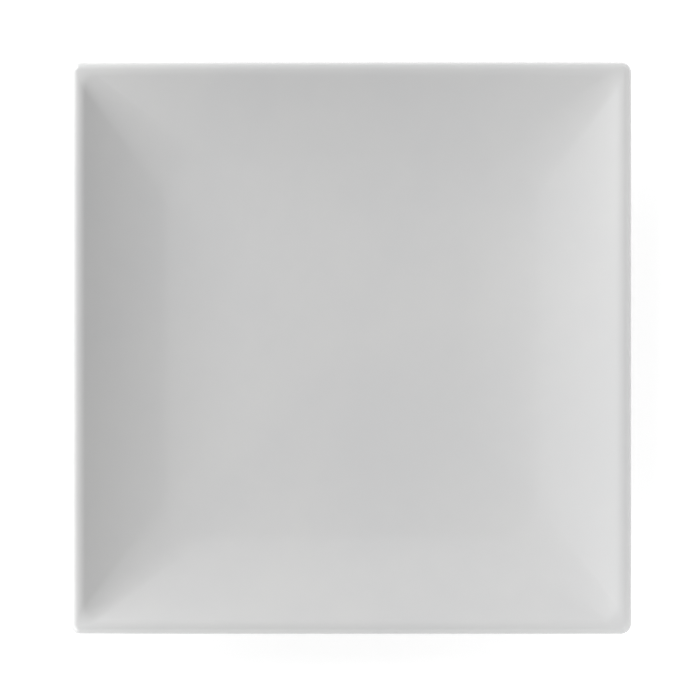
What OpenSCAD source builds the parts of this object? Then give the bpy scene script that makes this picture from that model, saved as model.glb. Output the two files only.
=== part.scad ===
// Square dinner plate of glazed porcelain, with upswept sides, a rounded rim and a foot ring.
// The origin is the middle of the plane that the foot ring rests on, with +Z up.
//
// The section is one run of arcs that flow into each other: from the flat of the well up the
// side, over the rim, back under the side and round the foot ring into the recess below.
// A station is one point of that run. It holds how far the point is in from the plate's edge,
// its height, the direction in which the surface faces and the corner radius in plan.
// A ring is the rounded rectangle that a station makes in plan, and each piece is a loft
// through the rings of its own part of the run.

/* [Plate] */
// Overall width, left to right
plate_w = 255; // [225:1:320]
// Overall depth, front to back
plate_d = 260; // [225:1:320]
// Thickness of the clay body
wall_t = 5; // [4:0.1:7]
// Thickness of the glaze
glaze_t = 0.3; // [0.2:0.05:0.5]
// Radius of the plate's corners in plan, along the rim's edge
edge_corner_r = 5; // [4.5:0.5:12]

/* [Rim] */
// Width of the rim's outer round, from the plate's edge to the crown
outer_round_w = 3.6; // [2.6:0.1:4.4]
// Width of the shoulder, from the crown to the steepest part of the side
shoulder_w = 3.4; // [2.8:0.1:6]
// Radius under the rim's edge
under_edge_r = 1.2; // [0.6:0.1:1.6]
// Slope of the rim's underside at its edge, in degrees
lip_slope = 4; // [0:1:15]
// Slope of the side just below the shoulder, where it is steepest, in degrees
rim_slope = 27; // [20:0.5:32]

/* [Sides] */
// Width of each side, from the rim's edge to the edge of the well
side_w = 43; // [34:0.5:48]
// Slope of the side where it comes down to the edge of the well, in degrees
side_foot_slope = 12.5; // [9:0.5:18]
// Radius of the side's corners in plan, just below the shoulder
side_corner_r = 7; // [4:0.5:16]

/* [Well] */
// Width of the bend at the edge of the well
bend_w = 4.5; // [2:0.5:8]
// Slope of the well's floor just inside the bend, in degrees
floor_edge_slope = 7; // [3:0.5:9]
// Width over which the floor levels out
level_w = 30; // [12:1:34]
// Corner radius of the level part of the floor
level_corner_r = 32; // [14:1:40]

/* [Foot ring] */
// Depth of the recess inside the foot ring
recess_h = 2.5; // [2.2:0.1:4]
// Width of the band that the plate rests on
bearing_w = 3; // [2:0.5:6]
// Lean of the ring's two walls, in degrees
foot_draft = 15; // [5:1:25]
// Radius where the ring's walls run into the underside
foot_fillet_r = 1.2; // [0.8:0.1:1.5]
// Radius of the two edges of the bearing band
foot_edge_r = 0.7; // [0.4:0.1:0.9]
// Height above the table at which the glaze stops
bare_h = 0.9; // [0.8:0.1:1.2]

/* [Hidden] */

// Steps along each arc of the section, and along each corner in plan
shoulder_steps = 5;
side_steps = 6;
bend_steps = 3;
level_steps = 4;
rim_steps = 5;
lip_steps = 5;
fillet_steps = 3;
corner_steps = 8;

// Places across the side, in from the plate's edge
shoulder_in = outer_round_w + shoulder_w;
side_end_in = side_w - bend_w / 2;
bend_end_in = side_w + bend_w / 2;
level_in = bend_end_in + level_w;

// An arc that turns from one slope to the other over a width drops by this much
function arc_drop(width, from, to) = width * tan((from + to) / 2);

well_depth = arc_drop(shoulder_w, 0, rim_slope)
    + arc_drop(side_end_in - shoulder_in, rim_slope, side_foot_slope)
    + arc_drop(bend_w, side_foot_slope, floor_edge_slope)
    + arc_drop(level_w, floor_edge_slope, 0);
crown_z = recess_h + wall_t + well_depth;

// The parts of a station
function inset(s) = s[0];
function height(s) = s[1];
function facing(s) = s[2];
function corner(s) = s[3];

function last(list) = list[len(list) - 1];
function reversed(list) = [for (i = [len(list) - 1:-1:0]) list[i]];

// The crown's corners run parallel to the plate's edge. From there inwards the corners open
// out over the shoulder, and then evenly over the side and the well.
crown_corner_r = edge_corner_r - outer_round_w;
function eased(from, to, share) = to - (to - from) * pow(1 - share, 2);
function evenly(from, to, share) = from + (to - from) * share;
function upper_corner(at) = at < shoulder_in
    ? eased(crown_corner_r, side_corner_r, (at - outer_round_w) / shoulder_w)
    : evenly(side_corner_r, level_corner_r, (at - shoulder_in) / (level_in - shoulder_in));

// The slope part of the way along an arc that turns from one slope to another
function turned(from, to, share) = asin(sin(from) * (1 - share) + sin(to) * share);

// Stations along an arc of the upper surface, which starts at station s and reaches the slope
// "to" over a width. A slope is also the direction in which the surface faces: 0 is up.
function arc_station(s, width, to, share) =
    let (
        slope = turned(facing(s), to, share),
        at = inset(s) + width * share
    )
    [at, height(s) - arc_drop(width * share, facing(s), slope), slope, upper_corner(at)];
function arc(s, width, to, steps) =
    [for (i = [1:steps]) arc_station(s, width, to, i / steps)];

// A station moved square to the surface, so that its ring stays parallel in plan
function moved(s, by) = [
    inset(s) + by * sin(facing(s)),
    height(s) + by * cos(facing(s)),
    facing(s),
    corner(s) - by * sin(facing(s))
];

// The station straight through the wall from an upper one, facing the other way
function through_wall(s) =
    let (below = moved(s, -wall_t))
    [inset(below), height(below), facing(s) - 180, corner(below)];

// Stations of a round about a centre, whose rings run parallel to a known station. The radius
// is negative where the round is hollow.
function round_station(centre, radius, face, beside) =
    let (at = centre[0] + radius * sin(face))
    [at, centre[1] + radius * cos(face), face, corner(beside) + inset(beside) - at];
function round_run(centre, radius, from, to, steps, beside) =
    [for (i = [0:steps]) round_station(centre, radius, from + (to - from) * i / steps, beside)];

// Upper surface, from the crown of the rim to the level part of the well
crown = [outer_round_w, crown_z, 0, crown_corner_r];
shoulder = arc(crown, shoulder_w, rim_slope, shoulder_steps);
side = arc(last(shoulder), side_end_in - shoulder_in, side_foot_slope, side_steps);
bend = arc(last(side), bend_w, floor_edge_slope, bend_steps);
level = arc(last(bend), level_w, 0, level_steps);
above_foot = concat([crown], shoulder, side, bend);
upper = concat(above_foot, level);

// Underside of the side, which ends where the foot ring's outer fillet begins
under = [for (s = concat([last(shoulder)], side, bend)) through_wall(s)];
foot_start = last(under);

// Rim below the crown. From under the shoulder the underside levels out in an arc to a small
// round at the edge, and an elliptic quarter leads from there up to the crown.
edge_in = glaze_t + under_edge_r;
lip_w = inset(under[0]) - edge_in + under_edge_r * sin(lip_slope);
edge_z = height(under[0]) + arc_drop(lip_w, lip_slope, rim_slope) + under_edge_r * cos(lip_slope);
round_w = outer_round_w - glaze_t;
round_h = crown_z - edge_z;
function outer_round_station(face) =
    let (
        reach = norm([round_w * sin(face), round_h * cos(face)]),
        at = outer_round_w + pow(round_w, 2) * sin(face) / reach
    )
    [at, edge_z + pow(round_h, 2) * cos(face) / reach, face, corner(crown) + inset(crown) - at];
outer_round = [for (i = [1:rim_steps]) outer_round_station(-90 * i / rim_steps)];
under_edge = round_run(
    [edge_in, edge_z], under_edge_r, -90, lip_slope - 180, fillet_steps, crown);
lip_start = last(under_edge);
lip = [for (i = [1:lip_steps - 1])
    let (
        share = i / lip_steps,
        slope = turned(lip_slope, rim_slope, share)
    )
    [
        inset(lip_start) + lip_w * share,
        height(lip_start) - arc_drop(lip_w * share, lip_slope, slope),
        slope - 180,
        eased(corner(lip_start), corner(under[0]), share)
    ]];
rim = concat(outer_round, [for (i = [1:fillet_steps]) under_edge[i]], lip);

// Foot ring. Its outer wall faces outwards and a little down, and its inner wall inwards.
outer_face = -90 - foot_draft;
inner_face = -270 + foot_draft;
function lean(rise) = rise * tan(foot_draft);
// Share of its radius that a round between a wall of the ring and a level face takes in height
round_share = 1 - sin(foot_draft);
outer_fillet_at = moved(foot_start, foot_fillet_r);
outer_fillet = round_run(
    outer_fillet_at, -foot_fillet_r, facing(foot_start), outer_face, fillet_steps, foot_start);
outer_wall_top = last(outer_fillet);
outer_edge_in = inset(outer_wall_top)
    + lean(height(outer_wall_top) - foot_edge_r * round_share) + foot_edge_r * cos(foot_draft);
inner_edge_in = outer_edge_in + bearing_w;
outer_edge = round_run(
    [outer_edge_in, foot_edge_r], foot_edge_r, outer_face, -180, fillet_steps, foot_start);
inner_edge = round_run(
    [inner_edge_in, foot_edge_r], foot_edge_r, -180, inner_face, fillet_steps, foot_start);
inner_wall_foot = last(inner_edge);
inner_fillet_in = inset(inner_wall_foot)
    + lean(recess_h - foot_fillet_r * round_share - height(inner_wall_foot))
    + foot_fillet_r * cos(foot_draft);
inner_fillet = round_run(
    [inner_fillet_in, recess_h - foot_fillet_r], -foot_fillet_r, inner_face, -180, fillet_steps,
    foot_start);

// Where the glaze stops on each wall of the ring
function on_wall(foot, way) =
    let (at = inset(foot) + way * lean(bare_h - height(foot)))
    [at, bare_h, facing(foot), corner(foot) + inset(foot) - at];
outer_glaze_end = on_wall(outer_edge[0], -1);
inner_glaze_end = on_wall(inner_wall_foot, 1);

// The run under the glaze coat, and the run under the glaze of the recess
coated = concat(
    reversed(upper), rim, under, [for (i = [1:fillet_steps]) outer_fillet[i]], [outer_glaze_end]);
recess = concat([inner_glaze_end], inner_fillet);

// The rounded rectangle of a station, anticlockwise from the +X side
function ring(s) =
    let (
        x = plate_w / 2 - inset(s),
        y = plate_d / 2 - inset(s),
        r = min(corner(s), x, y)
    )
    [for (quarter = [0:3], i = [0:corner_steps])
        let (
            a = 90 * (quarter + i / corner_steps),
            way_x = quarter == 0 || quarter == 3 ? 1 : -1,
            way_y = quarter < 2 ? 1 : -1
        )
        [way_x * (x - r) + r * cos(a), way_y * (y - r) + r * sin(a), height(s)]];

// A closed solid through the rings of a run that starts on top in the middle
module loft(run) {
    rings = [for (s = run) ring(s)];
    count = len(rings[0]);
    end = count * (len(run) - 1);
    bands = [for (row = [0:len(run) - 2], i = [0:count - 1])
        let (
            a = row * count + i,
            b = row * count + (i + 1) % count
        )
        [a, b, b + count, a + count]];
    top = [for (i = [count - 1:-1:0]) i];
    bottom = [for (i = [0:count - 1]) end + i];
    polyhedron([for (r = rings) each r], concat([top], bands, [bottom]), convexity = 6);
}

// Glaze over a run: out along one face of the layer and back along the other
function glazed(run) = [for (s = run) moved(s, glaze_t)];

// Fired clay body with its foot ring, whose bearing band is bare
module porcelain_body() {
    color("whitesmoke")
        loft(concat(coated, outer_edge, inner_edge, recess));
}

// Glaze over the well, the sides, the rim, the underside and the foot ring's outer wall
module glaze_coat() {
    color("lightgray")
        loft(concat(glazed(coated), reversed(coated)));
}

// Glaze in the recess inside the foot ring
module base_glaze() {
    color("gainsboro")
        loft(concat(reversed(recess), glazed(recess)));
}

porcelain_body();
glaze_coat();
base_glaze();
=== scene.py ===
# %% [markdown]
# # A square dinner plate of glazed porcelain
#
# This lesson dresses a plate in Blender. Its construction model is loaded first and stays as a
# fixed frame that says how large each layer is and where it lies. Nothing comes off a dinner
# plate, but it is made of three layers: the fired clay body, the glaze over the top and round
# the outside, and the glaze in the recess underneath. Between the two glazes a narrow band of
# clay is left bare, because the plate stands on it in the kiln.
#
# Everything is in metres, with +Z up and the table at zero.

# %% Load the frame
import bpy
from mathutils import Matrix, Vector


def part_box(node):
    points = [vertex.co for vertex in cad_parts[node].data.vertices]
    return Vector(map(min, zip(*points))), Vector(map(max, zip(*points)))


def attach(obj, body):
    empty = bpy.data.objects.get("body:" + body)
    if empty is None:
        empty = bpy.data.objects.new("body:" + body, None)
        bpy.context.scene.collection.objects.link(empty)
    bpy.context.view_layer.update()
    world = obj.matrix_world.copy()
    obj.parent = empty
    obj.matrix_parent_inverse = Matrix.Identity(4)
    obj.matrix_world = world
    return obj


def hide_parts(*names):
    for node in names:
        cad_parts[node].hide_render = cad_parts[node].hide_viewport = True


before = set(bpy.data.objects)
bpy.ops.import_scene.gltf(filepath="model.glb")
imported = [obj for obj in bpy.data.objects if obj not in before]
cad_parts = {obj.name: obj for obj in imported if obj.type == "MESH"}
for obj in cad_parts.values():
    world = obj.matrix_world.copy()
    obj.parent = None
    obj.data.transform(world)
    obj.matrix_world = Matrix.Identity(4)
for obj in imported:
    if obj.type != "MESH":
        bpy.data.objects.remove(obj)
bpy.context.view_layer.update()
print("layers in the frame:", ", ".join(sorted(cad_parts)))

# %% Tools for the rest of the lesson
import math
from collections import namedtuple

import bmesh
import bpy
from mathutils import Matrix, Vector

# %% [markdown]
# ## Sizes
#
# The outline comes from the frame. The sizes of the section are the ones that the construction
# model was made with, because a smooth copy has to lie on the same arcs. Writing them down as
# named values, with slopes in degrees, keeps the section easy to change in one place.

# %% Sizes of the plate
MM = 0.001
coat_low, coat_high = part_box("glaze_coat")
plate_w = coat_high.x - coat_low.x
plate_d = coat_high.y - coat_low.y
wall_t = 5 * MM
glaze_t = 0.3 * MM
edge_corner_r = 5 * MM
print(f"plate: {plate_w / MM:.1f} by {plate_d / MM:.1f} mm, clay {wall_t / MM:.1f} mm thick")

# %% Sizes of the rim and the sides
outer_round_w = 3.6 * MM
shoulder_w = 3.4 * MM
under_edge_r = 1.2 * MM
lip_slope = 4
rim_slope = 27
side_w = 43 * MM
side_foot_slope = 12.5
side_corner_r = 7 * MM

# %% Sizes of the well
bend_w = 4.5 * MM
floor_edge_slope = 7
level_w = 30 * MM
level_corner_r = 32 * MM

# %% Sizes of the foot ring
recess_h = 2.5 * MM
bearing_w = 3 * MM
foot_draft = 15
foot_fillet_r = 1.2 * MM
foot_edge_r = 0.7 * MM
bare_h = 0.9 * MM
glaze_round_h = 0.6 * MM

# %% [markdown]
# ## The section
#
# All four sides of the plate have the same section, so it is drawn once, as a run of stations.
# A station holds how far it is in from the plate's edge, its height, the direction in which
# the surface faces, and the radius of the plate's corners at that place. A direction of 0 faces
# up, -90 faces outwards and -180 faces down.
#
# The section could also be a spline drawn by eye. Arcs that flow into each other are used
# instead, because a plate is pressed or jiggered against a shaped tool, and such a tool is cut
# from arcs.

# %% Stations
Station = namedtuple("Station", "inset height facing corner")


def sine(angle):
    return math.sin(math.radians(angle))


def cosine(angle):
    return math.cos(math.radians(angle))


def tangent(angle):
    return math.tan(math.radians(angle))


def shares(steps):
    """Even shares of the way, without the start and with the end."""
    return [i / steps for i in range(1, steps + 1)]


# %% Corner radii seen from above
crown_corner_r = edge_corner_r - outer_round_w
shoulder_in = outer_round_w + shoulder_w
side_end_in = side_w - bend_w / 2
bend_end_in = side_w + bend_w / 2
level_in = bend_end_in + level_w


def eased(start, end, share):
    """From start to end, fast at first and then slower."""
    return end - (end - start) * (1 - share) ** 2


def upper_corner(inset):
    """The corners open out over the shoulder, and then evenly over the side and the well."""
    if inset < shoulder_in:
        return eased(crown_corner_r, side_corner_r, (inset - outer_round_w) / shoulder_w)
    share = (inset - shoulder_in) / (level_in - shoulder_in)
    return side_corner_r + (level_corner_r - side_corner_r) * share


# %% Arcs of the upper surface
def arc_drop(width, start, end):
    """How far an arc drops over a width while its slope turns from start to end."""
    return width * tangent((start + end) / 2)


def turned(start, end, share):
    """The slope part of the way along an arc."""
    return math.degrees(math.asin(sine(start) * (1 - share) + sine(end) * share))


def arc(start, width, slope, steps):
    """The stations of an arc that leaves a station and reaches a slope over a width."""
    stations = []
    for share in shares(steps):
        facing = turned(start.facing, slope, share)
        inset = start.inset + width * share
        height = start.height - arc_drop(width * share, start.facing, facing)
        stations.append(Station(inset, height, facing, upper_corner(inset)))
    return stations


# %% The upper surface, from the crown of the rim to the level floor
SHOULDER_STEPS = 16
SIDE_STEPS = 20
BEND_STEPS = 8
LEVEL_STEPS = 14
well_depth = (
    arc_drop(shoulder_w, 0, rim_slope)
    + arc_drop(side_end_in - shoulder_in, rim_slope, side_foot_slope)
    + arc_drop(bend_w, side_foot_slope, floor_edge_slope)
    + arc_drop(level_w, floor_edge_slope, 0)
)
crown = Station(outer_round_w, recess_h + wall_t + well_depth, 0, crown_corner_r)
shoulder = arc(crown, shoulder_w, rim_slope, SHOULDER_STEPS)
side = arc(shoulder[-1], side_end_in - shoulder_in, side_foot_slope, SIDE_STEPS)
bend = arc(side[-1], bend_w, floor_edge_slope, BEND_STEPS)
level = arc(bend[-1], level_w, 0, LEVEL_STEPS)
print(f"well: {well_depth / MM:.2f} mm deep, crown of the rim at {crown.height / MM:.2f} mm")


# %% [markdown]
# ## The rim and the underside
#
# A sharp rim would chip, so the lip is rounded: a quarter of an ellipse outside its crown, a
# small round under its edge, and an underside that levels out towards it. Further in, the
# underside is the upper surface moved through the wall. It is moved square to the surface and
# not straight down, because clay is pressed to one thickness, and a shape that is only lowered
# gets thin where it is steep.


# %% Through the wall, and rounds
def moved(station, by):
    """A station moved square to the surface, with its ring parallel to the old one."""
    across = by * sine(station.facing)
    up = by * cosine(station.facing)
    return Station(
        station.inset + across, station.height + up, station.facing, station.corner - across)


def through_wall(station):
    """The station on the other side of the wall, which faces the other way."""
    return moved(station, -wall_t)._replace(facing=station.facing - 180)


def beside(station, inset, height, facing):
    """A station whose ring is parallel to a known one."""
    return Station(inset, height, facing, station.corner + station.inset - inset)


def round_run(centre, radius, start, end, steps, station):
    """A round about a centre, from one direction to another. A hollow has a negative radius."""
    run = []
    for share in [0] + shares(steps):
        facing = start + (end - start) * share
        inset = centre[0] + radius * sine(facing)
        run.append(beside(station, inset, centre[1] + radius * cosine(facing), facing))
    return run


# %% The rim below its crown
OUTER_ROUND_STEPS = 14
UNDER_EDGE_STEPS = 8
under = [through_wall(s) for s in [shoulder[-1]] + side + bend]
edge_in = glaze_t + under_edge_r
lip_w = under[0].inset - edge_in + under_edge_r * sine(lip_slope)
edge_z = (
    under[0].height + arc_drop(lip_w, lip_slope, rim_slope) + under_edge_r * cosine(lip_slope)
)
round_w = outer_round_w - glaze_t
round_h = crown.height - edge_z


def outer_round_station(share):
    """A station of the elliptic quarter between the crown and the plate's edge."""
    facing = -90 * share
    reach = math.hypot(round_w * sine(facing), round_h * cosine(facing))
    inset = outer_round_w + round_w ** 2 * sine(facing) / reach
    return beside(crown, inset, edge_z + round_h ** 2 * cosine(facing) / reach, facing)


outer_round = [outer_round_station(share) for share in shares(OUTER_ROUND_STEPS)]
under_edge = round_run(
    (edge_in, edge_z), under_edge_r, -90, lip_slope - 180, UNDER_EDGE_STEPS, crown)[1:]
print(f"rim: {round_w / MM:.1f} mm wide outside its crown, widest at {edge_z / MM:.2f} mm up")


# %% The underside of the lip
LIP_STEPS = 10


def lip_station(start, share):
    """A station of the arc in which the underside levels out towards the plate's edge."""
    slope = turned(lip_slope, rim_slope, share)
    height = start.height - arc_drop(lip_w * share, lip_slope, slope)
    corner = eased(start.corner, under[0].corner, share)
    return Station(start.inset + lip_w * share, height, slope - 180, corner)


lip = [lip_station(under_edge[-1], share) for share in shares(LIP_STEPS)[:-1]]
rim = outer_round + under_edge + lip

# %% [markdown]
# ## The foot ring
#
# The underside runs down into a ring on which the plate stands. Its two walls lean a little,
# so that the plate comes out of its mould, and they run into the underside with small hollows.
# The glaze stops just above the table on both walls.

# %% Outer wall of the ring
HOLLOW_STEPS = 8
FOOT_EDGE_STEPS = 6
outer_face = -90 - foot_draft
inner_face = -270 + foot_draft
round_share = 1 - sine(foot_draft)


def lean(rise):
    """How far a wall of the ring leans over a rise."""
    return rise * tangent(foot_draft)


foot_start = under[-1]
hollow = moved(foot_start, foot_fillet_r)
outer_fillet = round_run(
    (hollow.inset, hollow.height), -foot_fillet_r, foot_start.facing, outer_face, HOLLOW_STEPS,
    foot_start)
wall_top = outer_fillet[-1]
wall_h = wall_top.height - foot_edge_r * round_share
outer_edge_in = wall_top.inset + lean(wall_h) + foot_edge_r * cosine(foot_draft)
outer_edge = round_run(
    (outer_edge_in, foot_edge_r), foot_edge_r, outer_face, -180, FOOT_EDGE_STEPS, foot_start)

# %% Inner wall of the ring
inner_edge_in = outer_edge_in + bearing_w
inner_edge = round_run(
    (inner_edge_in, foot_edge_r), foot_edge_r, -180, inner_face, FOOT_EDGE_STEPS, foot_start)
inner_foot = inner_edge[-1]
recess_rise = recess_h - foot_fillet_r * round_share - inner_foot.height
inner_fillet_in = inner_foot.inset + lean(recess_rise) + foot_fillet_r * cosine(foot_draft)
inner_fillet = round_run(
    (inner_fillet_in, recess_h - foot_fillet_r), -foot_fillet_r, inner_face, -180, HOLLOW_STEPS,
    foot_start)
print(f"foot ring: stands on a band {bearing_w / MM:.1f} mm wide, {outer_edge_in / MM:.1f} mm in")


# %% Where the glaze stops
GLAZE_END_STEPS = 7


def on_wall(foot, way, height):
    """A station on a wall of the ring, at some height above the table."""
    inset = foot.inset + way * lean(height - foot.height)
    return beside(foot, inset, height, foot.facing)


def wall_end(foot, way):
    """Stations down a wall to the end of its glaze, close together where the glaze thins out."""
    return [
        on_wall(foot, way, bare_h + glaze_round_h * (1 - sine(90 * share)))
        for share in [0] + shares(GLAZE_END_STEPS)
    ]


outer_wall = wall_end(outer_edge[0], -1)
inner_wall = wall_end(inner_foot, 1)
print(f"the glaze thins out over {glaze_round_h / MM:.1f} mm and stops {bare_h / MM:.1f} mm up")

# %% [markdown]
# ## From section to plate
#
# Seen from above, each station is a rounded rectangle. The plate grows from the middle of the
# well outwards: a plain rectangle gets its corners rounded by a bevel, and its outline is then
# extruded once for every station. A lathe can't make a square plate, and a scaled outline would
# squeeze the corners. So each corner of the new ring is scaled about its own centre and moved
# to its new one, and the straight stretches between them follow by themselves.

# %% One ring
CORNER_STEPS = 20
CORNERS = [(1, 1), (-1, 1), (-1, -1), (1, -1)]


def corner_centre(station, way_x, way_y):
    reach = station.inset + station.corner
    return Vector((way_x * (plate_w / 2 - reach), way_y * (plate_d / 2 - reach), station.height))


def first_ring(bm, station):
    """A rectangle whose corners are rounded by a bevel."""
    size = (plate_w - 2 * station.inset, plate_d - 2 * station.inset, 1)
    bmesh.ops.create_grid(bm, x_segments=1, y_segments=1, size=0.5)
    bmesh.ops.scale(bm, vec=size, verts=bm.verts)
    bmesh.ops.translate(bm, vec=(0, 0, station.height), verts=bm.verts)
    bmesh.ops.bevel(
        bm, geom=bm.verts[:], offset=station.corner, affect="VERTICES", segments=CORNER_STEPS,
        profile=0.5, material=-1)
    return bm.edges[:]


# %% The next ring
def next_ring(bm, outline, here, there):
    """Extrudes a ring's outline, and takes each of its corners to the next station."""
    made = bmesh.ops.extrude_edge_only(bm, edges=outline)["geom"]
    points = [part for part in made if isinstance(part, bmesh.types.BMVert)]
    for way_x, way_y in CORNERS:
        corner = [p for p in points if p.co.x * way_x > 0 and p.co.y * way_y > 0]
        start = corner_centre(here, way_x, way_y)
        end = corner_centre(there, way_x, way_y)
        grow = Matrix.Scale(there.corner / here.corner, 4)
        move = Matrix.Translation(end) @ grow @ Matrix.Translation(-start)
        bmesh.ops.transform(bm, matrix=move, verts=corner)
    return [part for part in made if isinstance(part, bmesh.types.BMEdge)]


# %% The whole loft
STRAIGHT_CUTS = 11
LONG = 12 * MM
SAME_HEIGHT = 0.03 * MM
SHARP = math.radians(35)


def is_straight(edge):
    """Whether an edge is a long straight stretch of a ring."""
    here, there = edge.verts
    return edge.calc_length() > LONG and abs(here.co.z - there.co.z) < SAME_HEIGHT


def loft(name, run):
    """A closed layer through the rings of a run that starts and ends in the middle."""
    bm = bmesh.new()
    outline = first_ring(bm, run[0])
    for here, there in zip(run, run[1:]):
        outline = next_ring(bm, outline, here, there)
    bmesh.ops.contextual_create(bm, geom=outline)
    straights = [edge for edge in bm.edges if is_straight(edge)]
    bmesh.ops.subdivide_edges(bm, edges=straights, cuts=STRAIGHT_CUTS)
    bmesh.ops.recalc_face_normals(bm, faces=bm.faces)
    mesh = bpy.data.meshes.new(name)
    bm.to_mesh(mesh)
    bm.free()
    mesh.shade_smooth()
    mesh.set_sharp_from_angle(angle=SHARP)
    piece = bpy.data.objects.new(name, mesh)
    bpy.context.scene.collection.objects.link(piece)
    print(f"{name}: {len(run)} rings, {len(mesh.polygons)} faces")
    return piece


# %% [markdown]
# ## The middle of the floor
#
# A ring can't shrink to a point, so a run starts on a small rounded rectangle in the middle of
# the level floor. A few rings between it and the edge of the level part keep the faces even.

# %% Rings of the level floor
MIDDLE_STEPS = 8
middle_w = 16 * MM
middle_corner_r = 4 * MM
middle_in = (plate_w - middle_w) / 2


def towards_middle(station):
    """Stations on the same height, from one out at the edge to the one in the middle."""
    return [
        Station(
            station.inset + (middle_in - station.inset) * share,
            station.height,
            station.facing,
            station.corner + (middle_corner_r - station.corner) * share,
        )
        for share in shares(MIDDLE_STEPS)
    ]


def from_middle(run):
    """A run with rings added in front of it, out from the middle."""
    return towards_middle(run[0])[::-1] + run


# %% [markdown]
# ## The three layers
#
# The clay body is one closed shape, and each glaze is a skin of glass fused to it. A Solidify
# modifier could give a copy of the clay's surface its thickness, but the glaze would end in a
# square step. So a glaze is made from the stations under it and the same stations moved
# outwards. Above the bare band they move less and less, because molten glass draws back into
# a thin round edge where it was wiped off.

# %% The runs under the two glazes
coated = from_middle(
    level[::-1] + bend[::-1] + side[::-1] + shoulder[::-1] + [crown] + rim + under
    + outer_fillet[1:] + outer_wall)
recess = inner_wall[::-1] + inner_fillet
recess += towards_middle(recess[-1])


# %% The outer face of a glaze
THINNEST = 0.1  # of the full thickness, at the very end of a glaze


def glaze_left(station):
    """The share of the glaze's thickness at a station. It rounds off above the bare band."""
    gap = (bare_h + glaze_round_h - station.height) / glaze_round_h
    return 1 if gap < 0 else max(math.sqrt(max(1 - gap ** 2, 0)), THINNEST)


def glazed(run):
    return [moved(station, glaze_t * glaze_left(station)) for station in run]


# %% The clay body
clay_body = loft("clay_body", coated + outer_edge + inner_edge + recess)
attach(clay_body, "root")
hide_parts("porcelain_body")

# %% The glaze over the plate
plate_glaze = loft("plate_glaze", glazed(coated) + coated[::-1])
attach(plate_glaze, "root")
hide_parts("glaze_coat")

# %% The glaze in the recess
recess_glaze = loft("recess_glaze", recess[::-1] + glazed(recess))
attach(recess_glaze, "root")
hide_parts("base_glaze")

# %% [markdown]
# ## Sums on sockets
#
# A shader is a sum that Blender works out for each point of a surface. The small class below
# wraps a socket, so that the sum is written with Python's own signs. Its method called node
# adds any other kind of node.


# %% A socket that can be used in sums
class Wire:
    """An output of a node tree. A Wire without a socket only starts a tree."""

    def __init__(self, tree, socket=None):
        self.tree = tree
        self.socket = socket

    def node(self, kind, settings=None, inputs=None, output=0):
        """Adds a node: first its settings, then the values or links of its sockets."""
        made = self.tree.nodes.new(kind)
        for name, value in (settings or {}).items():
            setattr(made, name, value)
        for name, value in (inputs or {}).items():
            if isinstance(value, Wire):
                self.tree.links.new(value.socket, made.inputs[name])
            else:
                made.inputs[name].default_value = value
        return Wire(self.tree, made.outputs[output] if len(made.outputs) else None)

    def sum(self, operation, first, second):
        return self.node("ShaderNodeMath", {"operation": operation}, {0: first, 1: second})

    def __add__(self, other):
        return self.sum("ADD", self, other)

    __radd__ = __add__

    def __sub__(self, other):
        return self.sum("SUBTRACT", self, other)

    def __rsub__(self, other):
        return self.sum("SUBTRACT", other, self)

    def __mul__(self, other):
        return self.sum("MULTIPLY", self, other)

    __rmul__ = __mul__


# %% Helpers for every finish
def new_finish(name):
    """An empty material, and a Wire that adds nodes to it."""
    material = bpy.data.materials.new(name)
    material.use_nodes = True
    material.node_tree.nodes.clear()
    return material, Wire(material.node_tree)


def noise(wire, place, scale, detail=2.0, roughness=0.5):
    """Noise from 0 to 1 with a number of features to the metre."""
    return wire.node("ShaderNodeTexNoise", None, {
        "Vector": place, "Scale": scale, "Detail": detail, "Roughness": roughness})


def between_colours(wire, share, first, second):
    """A colour part of the way from the first to the second."""
    settings = {"data_type": "RGBA", "clamp_factor": True}
    # A Mix node has a set of sockets for each kind of value: 6 and 7 are its colours, and
    # output 2 is their result.
    return wire.node("ShaderNodeMix", settings, {0: share, 6: first, 7: second}, output=2)


def spread(wire, value, low, high):
    """A value's range from low to high, stretched over 0 to 1."""
    return wire.node("ShaderNodeMapRange", {"clamp": True, "interpolation_type": "SMOOTHSTEP"}, {
        "Value": value, "From Min": low, "From Max": high})


# %% [markdown]
# ## White glaze
#
# The glaze is glass over white clay. Its colour is nearly even: it drifts a little over the
# plate where the glass is thicker or thinner. Its gloss isn't perfect either. It has a long,
# shallow swell and a very fine skin, and both show only in the highlights along the rim. A
# texture picture could hold all this, but noise on the plate's own coordinates has no seams
# and keeps its scale.

# %% Colours and gloss of the glaze
GLAZE_THIN = (0.625, 0.625, 0.622, 1)
GLAZE_THICK = (0.600, 0.602, 0.604, 1)
GLAZE_ROUGHNESS = 0.21
CLOUDY_ROUGHNESS = 0.05  # added where the glaze is cloudiest
GLASS_IOR = 1.5
SWELL_H = 0.03 * MM

# %% Features of the glaze to the metre, and how much the finer ones count
DRIFT_SCALE = 11
CLOUD_SCALE = 70
CLOUD_SHARE = 0.3
SWELL_SCALE = 38
SKIN_SCALE = 520
SKIN_SHARE = 0.04
NOISE_LOW, NOISE_HIGH = 0.3, 0.7


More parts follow.
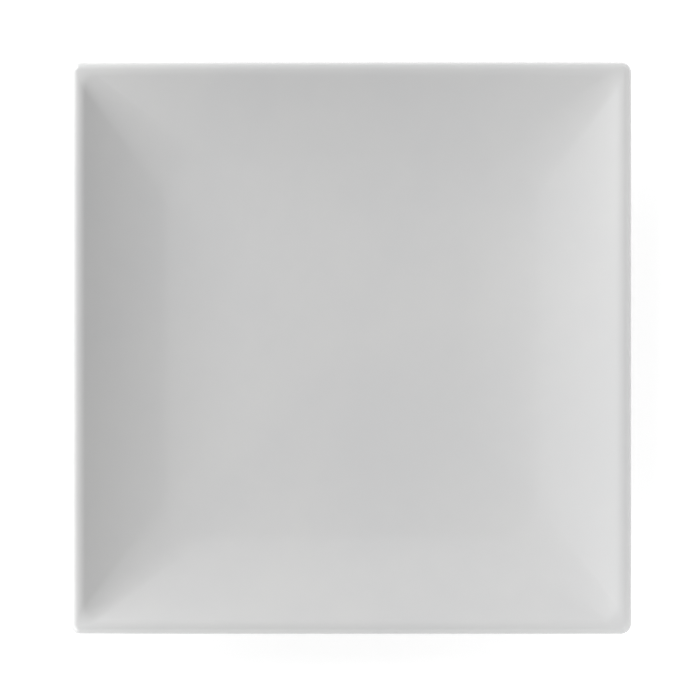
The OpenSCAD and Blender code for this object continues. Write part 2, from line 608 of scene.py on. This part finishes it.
# %% Make the glaze
def glaze_finish(name):
    material, wire = new_finish(name)
    place = wire.node("ShaderNodeTexCoord", output=3)
    drift = noise(wire, place, DRIFT_SCALE, 3)
    cloud = noise(wire, place, CLOUD_SCALE)
    depth = drift * (1 - CLOUD_SHARE) + cloud * CLOUD_SHARE
    thick = spread(wire, depth, NOISE_LOW, NOISE_HIGH)
    cloudy = spread(wire, cloud, NOISE_LOW, NOISE_HIGH)
    swell = noise(wire, place, SWELL_SCALE, 1)
    skin = noise(wire, place, SKIN_SCALE)
    bumps = wire.node("ShaderNodeBump", None, {
        "Strength": 1.0, "Distance": SWELL_H, "Height": swell + skin * SKIN_SHARE})
    wire.node("ShaderNodeOutputMaterial", None, {"Surface": wire.node(
        "ShaderNodeBsdfPrincipled", None, {
            "Base Color": between_colours(wire, thick, GLAZE_THIN, GLAZE_THICK),
            "Roughness": GLAZE_ROUGHNESS + cloudy * CLOUDY_ROUGHNESS,
            "IOR": GLASS_IOR,
            "Normal": bumps,
        })})
    print(f"{name}: {len(material.node_tree.nodes)} nodes")
    return material


white_glaze = glaze_finish("white_glaze")
for piece in (plate_glaze, recess_glaze):
    piece.data.materials.append(white_glaze)

# %% [markdown]
# ## Bare porcelain
#
# Where the foot ring is unglazed, the fired clay is matt and slightly warmer than the glaze.
# It is fine-grained, and it is a little greyer where it rubs on shelves and other plates. The
# grain is far too fine for a mesh, so a bump made of noise stands in for it. The same grain
# breaks up the edges of the rubbed patches, which would look painted on if they were smooth.

# %% Make the bare clay
CLAY_CLEAN = (0.66, 0.645, 0.62, 1)
CLAY_RUBBED = (0.52, 0.51, 0.495, 1)
CLAY_ROUGHNESS = 0.74
RUBBED_SMOOTHER = 0.12  # taken off the roughness where the clay is rubbed
GRAIN_SCALE = 2600
GRAIN_H = 0.03 * MM
GRAIN_SHARE = 0.2
PATCH_SCALE = 55
RUBBED_FROM, RUBBED_TO = 0.42, 0.66


def clay_finish(name):
    material, wire = new_finish(name)
    place = wire.node("ShaderNodeTexCoord", output=3)
    grain = noise(wire, place, GRAIN_SCALE, roughness=0.6)
    patches = noise(wire, place, PATCH_SCALE, 3)
    wear = patches * (1 - GRAIN_SHARE) + grain * GRAIN_SHARE
    rubbed = spread(wire, wear, RUBBED_FROM, RUBBED_TO)
    wire.node("ShaderNodeOutputMaterial", None, {"Surface": wire.node(
        "ShaderNodeBsdfPrincipled", None, {
            "Base Color": between_colours(wire, rubbed, CLAY_CLEAN, CLAY_RUBBED),
            "Roughness": CLAY_ROUGHNESS - rubbed * RUBBED_SMOOTHER,
            "Normal": wire.node("ShaderNodeBump", None, {
                "Strength": 1.0, "Distance": GRAIN_H, "Height": grain}),
        })})
    print(f"{name}: {len(material.node_tree.nodes)} nodes")
    return material


clay_body.data.materials.append(clay_finish("bare_porcelain"))

# %% [markdown]
# ## Camera
#
# The plate was photographed from straight above. A long lens far away shows it almost without
# perspective, as the photograph does. The plate sits a hair above the middle of the picture.

# %% Set up the camera
LENS = 200
SENSOR = 36
view_w = 318.04 * MM
camera_x, camera_y = -0.25 * MM, -1.0 * MM
camera_data = bpy.data.cameras.new("camera")
camera_data.lens = LENS
camera_data.sensor_width = SENSOR
camera_data.clip_end = 20
camera = bpy.data.objects.new("camera", camera_data)
camera.location = (camera_x, camera_y, edge_z + view_w * LENS / SENSOR)
bpy.context.scene.collection.objects.link(camera)
bpy.context.scene.camera = camera
print(f"camera: {camera.location.z:.2f} m up, sees {view_w / MM:.0f} mm across at the rim")

# %% [markdown]
# ## Floor and surroundings
#
# The background is white paper. For the camera and for reflections, the floor gets a small
# glow of its own that brings its lit colour up to white, and the plate's shadow stays on it.
# Further out the glow takes over, so that the floor meets the white surroundings unseen.


# %% Rays that see the white background
def seen_directly(wire):
    """1 for what the camera sees, also in a reflection or through glass, and 0 for light."""
    path = [wire.node("ShaderNodeLightPath", output=name) for name in (
        "Is Camera Ray", "Is Glossy Ray", "Is Transmission Ray")]
    return path[0] + path[1] + path[2]


# %% The floor
FLOOR_SIZE = 16
FLOOR_GREY = (0.8, 0.8, 0.8, 1)
FLOOR_GLOW = 0.45
FAR_STARTS, FAR_ENDS = 0.3, 0.9
floor_mesh = bpy.data.meshes.new("floor")
bm = bmesh.new()
bmesh.ops.create_grid(bm, x_segments=1, y_segments=1, size=FLOOR_SIZE / 2)
bm.to_mesh(floor_mesh)
bm.free()
floor = bpy.data.objects.new("floor", floor_mesh)
bpy.context.scene.collection.objects.link(floor)

floor_finish, wire = new_finish("white_paper")
place = wire.node("ShaderNodeTexCoord", output=3)
distance = wire.node("ShaderNodeVectorMath", {"operation": "LENGTH"}, {0: place}, output=1)
far = spread(wire, distance, FAR_STARTS, FAR_ENDS) * seen_directly(wire)
paper = wire.node("ShaderNodeBsdfDiffuse", None, {"Color": FLOOR_GREY})
glow = wire.node("ShaderNodeEmission", None, {
    "Color": (1, 1, 1, 1), "Strength": seen_directly(wire) * FLOOR_GLOW})
near_floor = wire.node("ShaderNodeAddShader", None, {0: paper, 1: glow})
white = wire.node("ShaderNodeEmission", None, {"Color": (1, 1, 1, 1), "Strength": 1.0})
wire.node("ShaderNodeOutputMaterial", None, {"Surface": wire.node(
    "ShaderNodeMixShader", None, {0: far, 1: near_floor, 2: white})})
floor_mesh.materials.append(floor_finish)
print(f"floor: {FLOOR_SIZE} m across")

# %% The surroundings
AMBIENT = 0.15
world = bpy.data.worlds.new("surroundings")
bpy.context.scene.world = world
world.use_nodes = True
world.node_tree.nodes.clear()
wire = Wire(world.node_tree)
seen = seen_directly(wire)
wire.node("ShaderNodeOutputWorld", None, {"Surface": wire.node(
    "ShaderNodeBackground", None, {
        "Color": (1, 1, 1, 1), "Strength": seen + (1 - seen) * AMBIENT})})
print(f"surroundings: white to the eye, {AMBIENT} as light")

# %% [markdown]
# ## Lamps
#
# The photograph has soft light from all round, most of it low and from the left. So the side
# that rises on the right is the brightest, the one on the left is the darkest, and a bright
# line runs along the left lip and, more faintly, along the top one. Soft boxes round the plate
# give that. Each is placed by the direction that it shines from, because on a shape as low and
# even as a plate the direction alone decides which side gets its light. The main one stands at
# the back left. A flatter one below it shines along the lip, and the others even out the rest.


# %% A flat lamp
def flat_lamp(name, place, size, turn, strength):
    """A lamp of width and height. It shines down before it is turned, and isn't seen itself."""
    data = bpy.data.lights.new(name, "AREA")
    data.shape = "RECTANGLE"
    data.size, data.size_y = size
    data.energy = strength
    lamp = bpy.data.objects.new(name, data)
    lamp.location = place
    lamp.rotation_euler = turn
    lamp.visible_camera = False
    bpy.context.scene.collection.objects.link(lamp)
    print(f"{name}: {strength} W, {size[0]:.2f} by {size[1]:.2f} m")


def shining(way):
    """The turn of a lamp that shines a given way."""
    return way.to_track_quat("-Z", "Y").to_euler()


# %% Soft boxes
BOX_SIZE = 0.8
BOX_DISTANCE = 1.8


def soft_box(name, around, up, strength, height=BOX_SIZE):
    """A lamp that looks at the plate. It stands around degrees from +X and up degrees high."""
    way = Vector((cosine(up) * cosine(around), cosine(up) * sine(around), sine(up)))
    flat_lamp(name, way * BOX_DISTANCE, (BOX_SIZE, height), shining(-way), strength)


LOW_BOX = 0.5
soft_box("left_back", 135, 35, 19.4)
soft_box("left_back_low", 135, 8, 15.7, LOW_BOX)
soft_box("left_front", 225, 20, 11.9)
soft_box("right_front", 315, 50, 5.3)
soft_box("back", 90, 65, 0.8)

# %% [markdown]
# ## Light close to the plate
#
# In the photograph the lip stays pale on all four sides, also on the right and at the front,
# where hardly any soft box reaches it. A strip of light that stands just outside the picture
# does that: it is so near that it lights the lip beside it and little else. One that starts
# above the rim lights the crown of the lip. One that stands on the table lights its outer
# face too. At the back the lit table helps, with a panel that lies on the floor and shines
# upwards, lower than the rim.

# %% Strips beside the plate
STRIP_LENGTH = 0.5


def strip(name, way_x, way_y, gap, low, high, strength):
    """A lamp beside one edge of the plate, from one height above the table to another."""
    place = (way_x * (plate_w / 2 + gap), way_y * (plate_d / 2 + gap), (low + high) / 2)
    size = (STRIP_LENGTH, high - low)
    flat_lamp(name, place, size, shining(Vector((-way_x, -way_y, 0))), strength)


strip("strip_left", -1, 0, 40 * MM, 25 * MM, 65 * MM, 0.076)
strip("strip_right", 1, 0, 80 * MM, 60 * MM, 140 * MM, 0.155)
strip("strip_right_low", 1, 0, 60 * MM, 1 * MM, 61 * MM, 0.060)
strip("strip_front", 0, -1, 40 * MM, 25 * MM, 65 * MM, 0.046)

# %% The lit table behind the plate
PANEL_SIZE = (0.7, 0.4)
PANEL_H = 1 * MM
PANEL_GAP = 2 * MM
UPWARDS = (math.pi, 0, 0)
panel_y = plate_d / 2 + PANEL_GAP + PANEL_SIZE[1] / 2
flat_lamp("panel_back", (0, panel_y, PANEL_H), PANEL_SIZE, UPWARDS, 0.6)

# %% Colour management
bpy.context.scene.view_settings.view_transform = "Standard"
